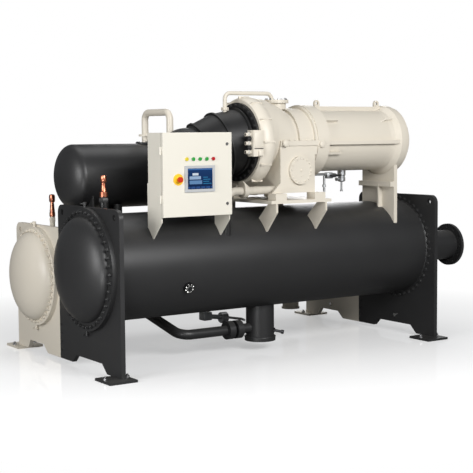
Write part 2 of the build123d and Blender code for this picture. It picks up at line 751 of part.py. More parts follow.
with BuildPart() as motor_support:
    support_top = MOTOR_FOOT_Z
    plate_low = support_top - SUPPORT_PLATE_T
    block((foot_x, comp_y - FOOT_HALF, EVAP_Z), (foot_x + FOOT_PLATE_T, comp_y + FOOT_HALF, support_top))
    block((foot_x - FOOT_FLANGE_OUT, comp_y - FOOT_HALF, plate_low),
          (foot_x + FOOT_PLATE_T, comp_y + FOOT_HALF, support_top))
    block((foot_x - SUPPORT_RIB_L, y0 + SUPPORT_RIB_Y, EVAP_Z),
          (foot_x, y0 + SUPPORT_RIB_Y + SUPPORT_RIB_T, support_top))
    cut_evaporator()
keep(motor_support.part, "motor_support")

# Discharge pipe: from the casing's back, over the shells and down to the condenser
with BuildPart() as discharge_pipe:
    start = (volute_x + DISCHARGE_X, block_back, DISCHARGE_Z)
    tube([start, (start[0], cond_y, DISCHARGE_Z), (start[0], cond_y, COND_Z)], DISCHARGE_R, DISCHARGE_BEND)
    rod(start, (0, 1, 0), DISCHARGE_FLANGE_R, DISCHARGE_FLANGE_T)
    cut_condenser()
keep(discharge_pipe.part, "discharge_pipe")

# Oil line: from the casing's lower half, under the volute and down to the evaporator
with BuildPart() as oil_line:
    start = (block_x, y0 + OIL_Y, OIL_Z)
    oil_end_x = volute_x - OIL_TO
    tube([start, (oil_end_x, start[1], OIL_Z), (oil_end_x, start[1], EVAP_Z)], OIL_R, OIL_BEND)
    rod((volute_x - OIL_FLANGE_X, start[1], OIL_Z), (1, 0, 0), OIL_FLANGE_R, OIL_FLANGE_T)
    cut_evaporator()
keep(oil_line.part, "oil_line")

# Pipe from the economizer to the suction header
with BuildPart() as economizer_pipe:
    foot = (header_x - U_BEFORE_HEADER, econ_y, ECON_Z + ECON_R * SUNK)
    far_y = header_y + HEADER_R * SUNK / sqrt(2)
    tube([foot, (foot[0], foot[1], U_PIPE_TOP), (foot[0], far_y, U_PIPE_TOP), (foot[0], far_y, header_z)],
         U_PIPE_R, U_PIPE_BEND)
    rod((foot[0], foot[1], ECON_Z + ECON_R + U_FLANGE_UP), (0, 0, 1), U_FLANGE_R, U_FLANGE_T)
    rod((econ_x, econ_y, ECON_Z), (1, 0, 0), ECON_R + SEAT, ECON_LENGTH, mode=Mode.SUBTRACT)
    with Locations((header_x, header_y, header_z)):
        Sphere(HEADER_R + SEAT, mode=Mode.SUBTRACT)
keep(economizer_pipe.part, "economizer_pipe")

# Thin balance pipe over the volute
balance_x = volute_x - SUCTION_T - BALANCE_BEFORE
with BuildPart() as balance_pipe:
    tube([(balance_x, comp_y, COMP_Z + ELBOW_R_FROM / 2), (balance_x, comp_y, BALANCE_TOP),
          (volute_x + BALANCE_AFTER, comp_y, BALANCE_TOP),
          (volute_x + BALANCE_AFTER, comp_y, TOP_COVER_Z + TOP_COVER_T)], BALANCE_R, BALANCE_BEND)
    for start, end in zip(rings[:2], rings[1:3]):
        loft([round_at(start[0], start[1], start[2] + SEAT), round_at(end[0], end[1], end[2] + SEAT)],
             mode=Mode.SUBTRACT)
    rod(rings[1][0], rings[1][1], rings[1][2] + RIB_OUT + SEAT, RIB_T, mode=Mode.SUBTRACT)
keep(balance_pipe.part, "balance_pipe")

# Guide-vane actuator: a terminal box with cable glands on the volute's nose
with BuildPart() as vane_actuator:
    act_y = y0 + ACT_Y
    block((volute_x - ACT_W, act_y, ACT_Z), (volute_x, act_y + ACT_D, ACT_Z + ACT_H))
    for gland in range(GLANDS):
        gland_z = ACT_Z + ACT_H * (gland + 1 / 2) / GLANDS
        rod((volute_x - ACT_W, act_y + ACT_D / 2, gland_z), (-1, 0, 0), GLAND_R, GLAND_L)
    rod((disc_x, comp_y, COMP_Z), (1, 0, 0), SUCTION_R + SEAT, SUCTION_T, mode=Mode.SUBTRACT)
keep(vane_actuator.part, "vane_actuator")

# Control cabinet, open at the front, with a door on two hinges
with BuildPart() as cabinet_body:
    block((cab_x, cab_y, CAB_Z), (cab_x + CAB_W, cab_back, CAB_Z + CAB_H))
    block((cab_x + CAB_WALL, cab_y + CAB_WALL, CAB_Z + CAB_WALL),
          (cab_x + CAB_W - CAB_WALL, cab_back - CAB_WALL, CAB_Z + CAB_H - CAB_WALL), mode=Mode.SUBTRACT)
    block((cab_x + CAB_LIP, cab_y, CAB_Z + CAB_LIP),
          (cab_x + CAB_W - CAB_LIP, cab_y + CAB_WALL, CAB_Z + CAB_H - CAB_LIP), mode=Mode.SUBTRACT)
keep(cabinet_body.part, "cabinet_body")

button_at = (cab_x + BUTTON_X, door_y, CAB_Z + BUTTON_UP)
with BuildPart() as cabinet_door:
    block((cab_x, door_y, CAB_Z), (cab_x + CAB_W, door_y + DOOR_T, CAB_Z + CAB_H))
    block((cab_x + DOOR_WALL, door_y + DOOR_WALL, CAB_Z + DOOR_WALL),
          (cab_x + CAB_W - DOOR_WALL, door_y + DOOR_T, CAB_Z + CAB_H - DOOR_WALL), mode=Mode.SUBTRACT)
    rod(button_at, (0, 1, 0), BUTTON_R + BUTTON_CLEAR, DOOR_WALL, mode=Mode.SUBTRACT)
keep(cabinet_door.part, "cabinet_door")

hinge_x = cab_x - HINGE_OUT
hinge_y = door_y + DOOR_T
half_hinge = HINGE_L / 2 - HINGE_CUT
hinge_levels = (CAB_Z + HINGE_IN, CAB_Z + CAB_H - HINGE_IN - HINGE_L)
with BuildPart() as body_hinges:
    for level in hinge_levels:
        leaf_top = level + half_hinge
        rod((hinge_x, hinge_y, level), (0, 0, 1), HINGE_R, half_hinge)
        rod((hinge_x, hinge_y, level), (0, 0, 1), HINGE_PIN_R, HINGE_L - HINGE_PIN_SHORT)
        block((hinge_x, hinge_y + LEAF_OFF, level), (cab_x, hinge_y + LEAF_OFF + LEAF_T, leaf_top))
        block((cab_x - LEAF_T, hinge_y + LEAF_OFF, level), (cab_x, cab_y + LEAF_L, leaf_top))
keep(body_hinges.part, "body_hinges")

with BuildPart() as door_hinges:
    for level in hinge_levels:
        knuckle = level + HINGE_L / 2 + HINGE_CUT
        leaf_top = level + HINGE_L
        rod((hinge_x, hinge_y, knuckle), (0, 0, 1), HINGE_R, half_hinge)
        block((hinge_x, hinge_y - LEAF_OFF - LEAF_T, knuckle), (cab_x, hinge_y - LEAF_OFF, leaf_top))
        block((cab_x - LEAF_T, door_y + LEAF_OFF, knuckle), (cab_x, hinge_y - LEAF_OFF, leaf_top))
        rod((hinge_x, hinge_y, knuckle), (0, 0, 1), HINGE_PIN_R + HINGE_PLAY, half_hinge, mode=Mode.SUBTRACT)
keep(door_hinges.part, "door_hinges")

screen_z = CAB_Z + SCREEN_UP
with BuildPart() as display_screen:
    block((cab_x + SCREEN_X, door_y - SCREEN_T, screen_z),
          (cab_x + SCREEN_X + SCREEN_W, door_y, screen_z + SCREEN_H))
keep(display_screen.part, "display_screen")

with BuildPart() as indicator_lamps:
    for lamp in range(LAMPS):
        rod((cab_x + LAMP_X + lamp * LAMP_PITCH, door_y, CAB_Z + LAMP_UP), (0, -1, 0), LAMP_R, LAMP_T)
keep(indicator_lamps.part, "indicator_lamps")

with BuildPart() as door_locks:
    for level in LOCK_LEVELS:
        rod((cab_x + LOCK_X, door_y, CAB_Z + level), (0, -1, 0), LOCK_R, LOCK_T)
keep(door_locks.part, "door_locks")

with BuildPart() as stop_collar:
    rod(button_at, (0, -1, 0), COLLAR_R, COLLAR_T)
    rod(button_at, (0, -1, 0), BOSS_R, BOSS_T)
    rod(button_at, (0, -1, 0), BUTTON_R + BUTTON_CLEAR, BOSS_T, mode=Mode.SUBTRACT)
keep(stop_collar.part, "stop_collar")

with BuildPart() as stop_button:
    button_back = button_at[1] + BUTTON_BEHIND
    cap_back = button_at[1] - CAP_GAP
    rod((button_at[0], button_back, button_at[2]), (0, -1, 0), BUTTON_R, button_back - cap_back + CAP_T)
    rod((button_at[0], cap_back, button_at[2]), (0, -1, 0), CAP_R, CAP_T)
keep(stop_button.part, "stop_button")

with BuildPart() as cabinet_brackets:
    for bracket_x in (cab_x, cab_x + CAB_W - BRACKET_T):
        plate(bracket_x, BRACKET_T, [
            (cab_y, CAB_Z), (cab_y, CAB_Z - BRACKET_DROP), (cab_y + BRACKET_TIP, CAB_Z - BRACKET_FALL),
            (cab_back + BRACKET_BACK, CAB_Z - BRACKET_FALL), (cab_back + BRACKET_BACK, CAB_Z + BRACKET_UP),
            (cab_back, CAB_Z + BRACKET_UP), (cab_back, CAB_Z)])
    cut_evaporator()
keep(cabinet_brackets.part, "cabinet_brackets")

# Liquid line under the shells, from the condenser to the float chamber on the evaporator
with BuildPart() as float_chamber:
    rod((drum_x, evap_y, DRUM_BOTTOM), (0, 0, 1), DRUM_R, EVAP_Z - DRUM_BOTTOM)
    rod((drum_x, evap_y, DRUM_BOTTOM), (0, 0, 1), DRUM_FLANGE_R, DRUM_FLANGE_T)
    cut_evaporator()
keep(float_chamber.part, "float_chamber")

with BuildPart() as liquid_line:
    turn = (x0 + LINE_X, evap_y, LINE_Z)
    start = (turn[0], cond_y, LINE_Z + LINE_RISE * (cond_y - evap_y))
    tube([start, turn, (drum_x, evap_y, LINE_Z)], LINE_R, LINE_BEND)
    for flange_x in (x0 + LINE_FLANGE_X, x0 + LINE_FLANGE_X + LINE_FLANGE_PITCH):
        rod((flange_x, evap_y, LINE_Z), (1, 0, 0), LINE_FLANGE_R, LINE_FLANGE_T)
    rod((drum_x, evap_y, DRUM_BOTTOM), (0, 0, 1), DRUM_R + SEAT, EVAP_Z - DRUM_BOTTOM, mode=Mode.SUBTRACT)
    cut_condenser()
keep(liquid_line.part, "liquid_line")

with BuildPart() as condenser_sump:
    rod((x0 + SUMP_X, cond_y, SUMP_Z), (0, 0, 1), SUMP_R, COND_Z - SUMP_Z)
    rod((x0 + SUMP_X, cond_y, SUMP_Z), (0, 0, 1), SUMP_FLANGE_R, SUMP_FLANGE_T)
    cut_condenser()
keep(condenser_sump.part, "condenser_sump")

# Sight glass on the evaporator's front
glass_dz = (GLASS_Z - EVAP_Z) / EVAP_R
glass_dy = -sqrt(1 - glass_dz ** 2)
with BuildPart() as sight_glass:
    rod((x0 + GLASS_X, evap_y + glass_dy * EVAP_R * SUNK, EVAP_Z + glass_dz * EVAP_R * SUNK),
        (0, glass_dy, glass_dz), GLASS_R, EVAP_R * (1 - SUNK) + GLASS_OUT)
    cut_evaporator()
keep(sight_glass.part, "sight_glass")

# Relief valves on the shells, beside the left tube sheets
for name, valve_y, shell_z, shell_r, body_h, body_r, cut in (
        ("evaporator", evap_y, EVAP_Z, EVAP_R, EVAP_VALVE_H, EVAP_VALVE_R, cut_evaporator),
        ("condenser", cond_y, COND_Z, COND_R, COND_VALVE_H, COND_VALVE_R, cut_condenser)):
    with BuildPart() as relief_valve:
        low = (x0 + RELIEF_X, valve_y, shell_z + shell_r * SUNK)
        rod(low, (0, 0, 1), body_r, shell_r * (1 - SUNK) + body_h)
        rod(low, (0, 0, 1), body_r / 2, shell_r * (1 - SUNK) + body_h + VALVE_STEM)
        cut()
    keep(relief_valve.part, f"{name}_relief_valve")
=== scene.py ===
from math import cos, pi, radians, sin, tan

import bpy
from bpy.props import FloatProperty, FloatVectorProperty, IntProperty, PointerProperty
from mathutils import Matrix, Vector


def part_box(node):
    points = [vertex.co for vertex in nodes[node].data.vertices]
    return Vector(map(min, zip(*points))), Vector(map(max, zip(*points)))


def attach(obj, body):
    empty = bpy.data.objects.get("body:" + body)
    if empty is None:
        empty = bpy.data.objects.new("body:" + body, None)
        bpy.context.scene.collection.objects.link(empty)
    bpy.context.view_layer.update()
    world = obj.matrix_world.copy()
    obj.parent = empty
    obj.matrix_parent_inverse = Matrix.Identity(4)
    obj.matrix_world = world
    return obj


bl_info = {
    "name": "Centrifugal chiller dressing",
    "version": (1, 0, 0),
    "blender": (4, 5, 0),
    "location": "View3D > Sidebar > Chiller",
    "description": "Finishes, fasteners and fittings around the packed chiller",
    "category": "Object",
}

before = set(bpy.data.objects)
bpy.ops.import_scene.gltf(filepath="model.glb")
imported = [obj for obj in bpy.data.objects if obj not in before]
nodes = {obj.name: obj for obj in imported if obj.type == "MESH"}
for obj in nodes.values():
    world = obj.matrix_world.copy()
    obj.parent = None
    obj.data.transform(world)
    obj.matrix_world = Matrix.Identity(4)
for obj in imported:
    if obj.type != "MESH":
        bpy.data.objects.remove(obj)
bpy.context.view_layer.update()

X, Y, Z = Vector((1, 0, 0)), Vector((0, 1, 0)), Vector((0, 0, 1))
MACHINE, DOOR, BUTTON = "chiller", "door", "stop_button"


# Sizes and colours that a user would change

class ChillerFinish(bpy.types.PropertyGroup):
    """Colours of the machine's surfaces"""
    black: FloatVectorProperty(name="Black", description="Evaporator, suction pipe and economizer",
                               subtype="COLOR", min=0, max=1, default=(0.020, 0.020, 0.0205))
    cream: FloatVectorProperty(name="Cream", description="Condenser, compressor and motor",
                               subtype="COLOR", min=0, max=1, default=(0.66, 0.61, 0.52))
    cabinet: FloatVectorProperty(name="Cabinet", description="Control cabinet's powder coat",
                                 subtype="COLOR", min=0, max=1, default=(0.69, 0.66, 0.58))
    steel: FloatVectorProperty(name="Steel", description="Bolts and bare fittings",
                               subtype="COLOR", min=0, max=1, default=(0.40, 0.40, 0.41))
    copper: FloatVectorProperty(name="Copper", description="Relief valves and thin lines",
                                subtype="COLOR", min=0, max=1, default=(0.55, 0.20, 0.12))


class ChillerBolts(bpy.types.PropertyGroup):
    """Sizes of the fasteners"""
    head_count: IntProperty(name="Evaporator head bolts", description="Bolts round each black head",
                            min=12, max=72, default=44)
    cond_count: IntProperty(name="Condenser head bolts", description="Bolts round each cream head",
                            min=12, max=72, default=40)
    head_r: FloatProperty(name="Head bolt radius", description="Across the corners, halved",
                          unit="LENGTH", min=0.004, max=0.03, default=0.0155)
    cover_r: FloatProperty(name="Cover bolt radius", description="Bolts of the casing's cover",
                           unit="LENGTH", min=0.003, max=0.02, default=0.0085)


class ChillerStage(bpy.types.PropertyGroup):
    """Studio floor and light"""
    floor_half: FloatProperty(name="Floor half width", description="Half the floor's side",
                              unit="LENGTH", min=5, max=100, default=40)
    lens: FloatProperty(name="Lens", description="Focal length on a 36 mm sensor", min=20, max=200,
                        default=91.016)


# Materials: expressions on node sockets

class Wire:
    """A node's output that takes part in Python expressions"""

    def __init__(self, finish, socket):
        self.finish = finish
        self.socket = socket

    def maths(self, operation, first, second=0.0):
        return self.finish.node("ShaderNodeMath", {0: first, 1: second}, operation=operation)

    def __add__(self, other):
        return self.maths("ADD", self, other)

    def __radd__(self, other):
        return self.maths("ADD", other, self)

    def __sub__(self, other):
        return self.maths("SUBTRACT", self, other)

    def __rsub__(self, other):
        return self.maths("SUBTRACT", other, self)

    def __mul__(self, other):
        return self.maths("MULTIPLY", self, other)

    def __rmul__(self, other):
        return self.maths("MULTIPLY", other, self)

    def __truediv__(self, other):
        return self.maths("DIVIDE", self, other)

    def __rtruediv__(self, other):
        return self.maths("DIVIDE", other, self)

    def __gt__(self, other):
        return self.maths("GREATER_THAN", self, other)

    def __lt__(self, other):
        return self.maths("LESS_THAN", self, other)

    def __abs__(self):
        return self.maths("ABSOLUTE", self)

    def __pow__(self, other):
        return self.maths("POWER", self, other)


class Finish:
    """A node material"""

    def __init__(self, name):
        self.material = bpy.data.materials.new(name)
        self.material.use_nodes = True
        self.tree = self.material.node_tree
        self.tree.nodes.clear()

    def node(self, kind, inputs=None, output=0, stops=None, **settings):
        """Add a node: its settings first, then its sockets' values or links"""
        made = self.tree.nodes.new(kind)
        for key, value in settings.items():
            setattr(made, key, value)
        if stops:
            ramp = made.color_ramp.elements
            while len(ramp) < len(stops):
                ramp.new(0.5)
            for element, (place, shade) in zip(ramp, stops):
                element.position = place
                element.color = (*shade, 1.0)
        for key, value in (inputs or {}).items():
            if isinstance(value, Wire):
                self.tree.links.new(value.socket, made.inputs[key])
            else:
                made.inputs[key].default_value = value
        return Wire(self, made.outputs[output]) if len(made.outputs) else None

    def place(self):
        return self.node("ShaderNodeTexCoord", output="Object")

    def axes(self, place):
        return [self.node("ShaderNodeSeparateXYZ", {0: place}, output=axis) for axis in range(3)]

    def noise(self, place, scale, detail=3.0, rough=0.5):
        return self.node("ShaderNodeTexNoise", {"Vector": place, "Scale": scale, "Detail": detail,
                                                "Roughness": rough})

    def fit(self, value, low, high, to_low=0.0, to_high=1.0):
        return self.node("ShaderNodeMapRange", {0: value, 1: low, 2: high, 3: to_low, 4: to_high})

    def blend(self, share, first, second):
        """Colour from first to second as share goes from 0 to 1"""
        first, second = [(*c, 1.0) if isinstance(c, tuple) and len(c) == 3 else c
                         for c in (first, second)]
        return self.node("ShaderNodeMix", {0: share, 6: first, 7: second}, output=2, data_type="RGBA")

    def bump(self, height, strength, distance):
        return self.node("ShaderNodeBump", {"Strength": strength, "Distance": distance,
                                            "Height": height})

    def surface(self, **sockets):
        """Close the material with one shader; names of sockets with _ for spaces"""
        shader = self.node("ShaderNodeBsdfPrincipled",
                           {name.replace("_", " "): value for name, value in sockets.items()})
        self.node("ShaderNodeOutputMaterial", {0: shader})
        return self.material


def shade(colour, factor):
    """A colour made lighter or darker"""
    return tuple(min(1.0, part * factor) for part in colour)


def painted(name, colour, gloss, tint=0.06, grain=420.0, relief=0.00025):
    """Sprayed paint: faint clouding, fine orange peel and a little dust on what faces up"""
    finish = Finish(name)
    place = finish.place()
    clouds = finish.noise(place, 2.3, 5.0, 0.6)
    peel = finish.noise(place, grain, 2.0)
    up = finish.node("ShaderNodeSeparateXYZ", {0: finish.node("ShaderNodeNewGeometry", output="Normal")},
                     output=2)
    dust = finish.fit(up, 0.55, 1.0) * finish.fit(clouds, 0.35, 0.75) * 0.10
    base = finish.blend(clouds, shade(colour, 1 - tint), shade(colour, 1 + tint))
    base = finish.blend(dust, base, (0.5, 0.48, 0.44))
    return finish.surface(Base_Color=base, Roughness=gloss + (clouds - 0.5) * 0.12 + dust * 0.5,
                          Normal=finish.bump(peel, 0.25, relief))


def bare_metal(name, colour, gloss, metallic=1.0):
    """Machined or plated metal with fine scratches"""
    finish = Finish(name)
    place = finish.place()
    grain = finish.noise(place, 160.0, 4.0, 0.7)
    clouds = finish.noise(place, 12.0, 3.0)
    return finish.surface(Base_Color=finish.blend(clouds, shade(colour, 0.82), shade(colour, 1.12)),
                          Metallic=metallic, Roughness=gloss + (grain - 0.5) * 0.2,
                          Normal=finish.bump(grain, 0.15, 0.0002))


def moulded(name, colour, gloss, coat=0.0):
    """Moulded plastic with a fine grain"""
    finish = Finish(name)
    place = finish.place()
    grain = finish.noise(place, 900.0, 2.0)
    clouds = finish.noise(place, 30.0, 2.0)
    return finish.surface(Base_Color=finish.blend(clouds, shade(colour, 0.94), shade(colour, 1.06)),
                          Roughness=gloss + (grain - 0.5) * 0.08, Coat_Weight=coat,
                          Normal=finish.bump(grain, 0.12, 0.0001))


materials = {}


# Modelling helpers, each built on the operators that a hand would use

def clear_selection():
    if bpy.context.object and bpy.context.object.mode != "OBJECT":
        bpy.ops.object.mode_set(mode="OBJECT")
    bpy.ops.object.select_all(action="DESELECT")


def only(piece):
    clear_selection()
    piece.select_set(True)
    bpy.context.view_layer.objects.active = piece


def settle(piece, name, finish, body=MACHINE, angle=35):
    """Name a finished piece, put its place in its mesh, give it its finish and its body"""
    only(piece)
    bpy.ops.object.transform_apply(location=True, rotation=True, scale=True)
    bpy.ops.object.shade_smooth_by_angle(angle=radians(angle))
    piece.name = name
    piece.data.name = name
    piece.data.materials.clear()
    piece.data.materials.append(materials[finish])
    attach(piece, body)
    return piece


def lathe(profile, sides=24):
    """A round piece on the Z axis: a disc extruded and resized from one (radius, height) to the next"""
    clear_selection()
    radius, height = profile[0]
    bpy.ops.mesh.primitive_circle_add(vertices=sides, radius=radius, fill_type="NGON",
                                      location=(0, 0, height))
    piece = bpy.context.object
    bpy.ops.object.transform_apply(location=True)
    bpy.ops.object.mode_set(mode="EDIT")
    bpy.ops.mesh.select_all(action="SELECT")
    for next_radius, next_height in profile[1:]:
        bpy.ops.mesh.extrude_region_move(
            TRANSFORM_OT_translate={"value": (0, 0, next_height - height)})
        scale = next_radius / radius
        bpy.ops.transform.resize(value=(scale, scale, 1), center_override=(0, 0, next_height))
        radius, height = next_radius, next_height
    bpy.ops.mesh.select_all(action="SELECT")
    bpy.ops.mesh.normals_make_consistent(inside=False)
    bpy.ops.object.mode_set(mode="OBJECT")
    return piece


def joined(pieces):
    clear_selection()
    for piece in pieces:
        piece.select_set(True)
    bpy.context.view_layer.objects.active = pieces[0]
    if len(pieces) > 1:
        bpy.ops.object.join()
    return bpy.context.object


def hex_bolt(radius, washer=1.35):
    """A hexagon head on its washer, seated at the origin and facing up"""
    head = lathe([(radius, 0), (radius, radius * 0.62), (radius * 0.84, radius * 0.74)], sides=6)
    ring = lathe([(radius * washer, 0), (radius * washer, radius * 0.13),
                  (radius * washer * 0.93, radius * 0.2)], sides=16)
    return joined([head, ring])


def stud_nut(radius):
    """A nut with the end of its stud standing out"""
    nut = lathe([(radius, 0), (radius, radius * 0.85), (radius * 0.84, radius * 0.95)], sides=6)
    stud = lathe([(radius * 0.56, radius * 0.6), (radius * 0.56, radius * 1.45),
                  (radius * 0.44, radius * 1.56)], sides=10)
    return joined([nut, stud])


def spot(place, facing, turn=0.0):
    """Matrix that puts a piece made on the Z axis at a place, facing a way"""
    facing = Vector(facing).normalized()
    return (Matrix.Translation(place) @ facing.to_track_quat("Z", "Y").to_matrix().to_4x4()
            @ Matrix.Rotation(turn, 4, "Z"))


def ring_spots(centre, facing, radius, count, first=0.5, turn=0.3):
    """Spots evenly round a circle whose axis is facing"""
    facing = Vector(facing).normalized()
    across = facing.orthogonal().normalized()
    up = facing.cross(across)
    spots = []
    for step in range(count):
        angle = 2 * pi * (step + first) / count
        place = Vector(centre) + (across * cos(angle) + up * sin(angle)) * radius
        spots.append(spot(place, facing, turn * step))
    return spots


def copies(source, spots):
    """Copies of a source at their spots, joined; the source itself goes"""
    made = []
    for matrix in spots:
        copy = source.copy()
        copy.data = source.data.copy()
        copy.data.transform(matrix)
        bpy.context.collection.objects.link(copy)
        made.append(copy)
    bpy.data.objects.remove(source)
    return joined(made)


def middle(low, high):
    return (low + high) / 2


def put(piece, place, facing=Z, turn=0.0):
    """Take a piece made on the Z axis to its place"""
    piece.data.transform(spot(place, facing, turn))
    return piece


def turned(profile, place, facing=Z, sides=24, turn=0.0):
    return put(lathe(profile, sides), place, facing, turn)


def point(x, y, z):
    """A point measured along the machine from the left sheet's outer face, back from the black
    sheets' front edge and up from the floor"""
    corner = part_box("evaporator_tube_sheet_left")[0]
    return Vector((corner.x + x, corner.y + y, z))


def centre_of(node):
    low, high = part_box(node)
    return (low + high) / 2


def pipe(points, radius, bend=0.0, sides=14, steps=5):
    """A round pipe: a disc extruded along straight runs and spun round each corner"""
    points = [Vector(place) for place in points]
    ahead = (points[1] - points[0]).normalized()
    clear_selection()
    bpy.ops.mesh.primitive_circle_add(vertices=sides, radius=radius, fill_type="NGON",
                                      location=points[0],
                                      rotation=ahead.to_track_quat("Z", "Y").to_euler())
    piece = bpy.context.object
    bpy.ops.object.transform_apply(location=True, rotation=True)
    bpy.ops.object.mode_set(mode="EDIT")
    bpy.ops.mesh.select_all(action="SELECT")
    here = points[0]
    for corner, beyond in zip(points[1:], points[2:] + [None]):
        ahead = (corner - here).normalized()
        stop = corner
        if beyond is not None:
            after = (beyond - corner).normalized()
            angle = ahead.angle(after)
            cut = bend * tan(angle / 2)
            stop = corner - ahead * cut
        bpy.ops.mesh.extrude_region_move(TRANSFORM_OT_translate={"value": stop - here})
        if beyond is not None:
            axis = ahead.cross(after).normalized()
            bpy.ops.mesh.spin(steps=steps, angle=angle, center=stop + axis.cross(ahead) * bend,
                              axis=axis)
            here = corner + after * cut
    bpy.ops.mesh.select_all(action="SELECT")
    bpy.ops.mesh.remove_doubles(threshold=0.00001)
    bpy.ops.mesh.normals_make_consistent(inside=False)
    bpy.ops.object.mode_set(mode="OBJECT")
    return piece


def panel(low, high, round_off, segments=2):
    """A box between two corners with its edges rounded"""
    low, high = Vector(low), Vector(high)
    clear_selection()
    bpy.ops.mesh.primitive_cube_add(size=1, location=(low + high) / 2, scale=high - low)
    piece = bpy.context.object
    bpy.ops.object.transform_apply(location=True, rotation=True, scale=True)
    bpy.ops.object.mode_set(mode="EDIT")
    bpy.ops.mesh.select_all(action="SELECT")
    bpy.ops.mesh.bevel(offset=round_off, segments=segments, affect="EDGES")
    bpy.ops.object.mode_set(mode="OBJECT")
    return piece


class Step(bpy.types.Operator):
    """Shared base of the steps"""
    bl_options = {"REGISTER", "UNDO"}

    def execute(self, context):
        self.build(context.scene)
        return {"FINISHED"}


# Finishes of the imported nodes

NODE_FINISH = {
    "black": ["evaporator_shell", "evaporator_tube_sheet_left", "evaporator_tube_sheet_right",
              "evaporator_head", "evaporator_water_head", "evaporator_nozzles", "front_foot_plates",
              "economizer_shell", "economizer_end_left", "economizer_end_right",
              "economizer_saddles", "float_chamber", "liquid_line"],
    # painted shade: the suction header and its cover take a darker copy of the black paint
    "shaded_black": ["suction_header", "suction_cover"],
    "cabinet": ["cabinet_body", "body_hinges", "cabinet_brackets", "cabinet_door", "door_hinges"],
    "screen": ["display_screen"],
    "lamps": ["indicator_lamps"],
    "yellow": ["stop_collar"],
    "red": ["stop_button"],
    "black_valve": ["evaporator_relief_valve"],
    "cream_valve": ["condenser_relief_valve"],
    "oil": ["oil_line"],
    "bright": ["door_locks"],
    "dark": ["sight_glass"],
}


def lamp_finish():
    """Yellow, three green and a red lens, told apart by their place along the door"""
    finish = Finish("lamp_lenses")
    place = finish.place()
    along = finish.axes(place)[0]
    low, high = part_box("indicator_lamps")
    pitch = (high.x - low.x - 0.028) / 4
    first = low.x + 0.014 + pitch / 2
    colour = finish.blend(along > first, (0.62, 0.50, 0.03), (0.03, 0.30, 0.05))
    colour = finish.blend(along > first + 3 * pitch, colour, (0.42, 0.01, 0.015))
    ripple = finish.noise(place, 700.0, 1.0)
    return finish.surface(Base_Color=colour, Roughness=0.18 + (ripple - 0.5) * 0.1,
                          Coat_Weight=0.5, Normal=finish.bump(ripple, 0.2, 0.0002))


def two_tone(name, node, share, low_colour, high_colour, low_metal=0.0, high_metal=1.0):
    """One finish up to a share of a node's height and another above it"""
    finish = Finish(name)
    place = finish.place()
    low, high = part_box(node)
    above = finish.axes(place)[2] > low.z + share * (high.z - low.z)
    grain = finish.noise(place, 160.0, 4.0, 0.7)
    clouds = finish.noise(place, 25.0, 3.0)
    base = finish.blend(above, low_colour, high_colour)
    base = finish.blend(clouds * 0.3, base, shade(low_colour, 0.6))
    return finish.surface(Base_Color=base, Metallic=finish.fit(above, 0, 1, low_metal, high_metal),
                          Roughness=0.30 + (grain - 0.5) * 0.2,
                          Normal=finish.bump(grain, 0.15, 0.0002))


def screen_finish():
    """A generic operating page: a dark field, a head line, a bar of keys and a plant diagram"""
    finish = Finish("operating_page")
    place = finish.place()
    across, _, up = finish.axes(place)
    low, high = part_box("display_screen")
    u = finish.fit(across, low.x, high.x)
    v = finish.fit(up, low.z, high.z)

    def box_mask(left, right, bottom, top):
        return (u > left) * (u < right) * (v > bottom) * (v < top)

    page = finish.blend(v, (0.002, 0.006, 0.022), (0.004, 0.018, 0.060))
    page = finish.blend(box_mask(0.10, 0.90, 0.84, 0.885), page, (0.02, 0.06, 0.16))
    page = finish.blend(box_mask(0.14, 0.56, 0.30, 0.44), page, (0.05, 0.10, 0.18))
    page = finish.blend(box_mask(0.14, 0.52, 0.48, 0.60), page, (0.12, 0.17, 0.24))
    page = finish.blend(box_mask(0.24, 0.44, 0.63, 0.72), page, (0.24, 0.27, 0.30))
    page = finish.blend(box_mask(0.60, 0.88, 0.30, 0.33), page, (0.01, 0.07, 0.14))
    page = finish.blend(box_mask(0.60, 0.80, 0.38, 0.41), page, (0.01, 0.07, 0.14))
    page = finish.blend(box_mask(0.60, 0.84, 0.46, 0.49), page, (0.01, 0.07, 0.14))
    page = finish.blend(box_mask(0.60, 0.76, 0.54, 0.57), page, (0.01, 0.07, 0.14))
    cells = finish.node("ShaderNodeMath", {0: u * 6.0}, operation="FRACT")
    keys = box_mask(0.09, 0.91, 0.13, 0.21) * (cells > 0.18)
    page = finish.blend(keys, page, (0.01, 0.03, 0.09))
    border = 1 - box_mask(0.085, 0.915, 0.11, 0.90)
    front = finish.fit(finish.axes(finish.node("ShaderNodeNewGeometry", output="Normal"))[1],
                       -0.99, -0.98, 1.0, 0.0)
    bezel = 1 - (1 - border) * front
    glow = finish.blend(bezel, page, (0.0, 0.0, 0.0))
    return finish.surface(Base_Color=finish.blend(bezel, page, (0.42, 0.43, 0.44)),
                          Roughness=finish.fit(bezel, 0.0, 1.0, 0.12, 0.42),
                          Emission_Color=glow, Emission_Strength=1.2)


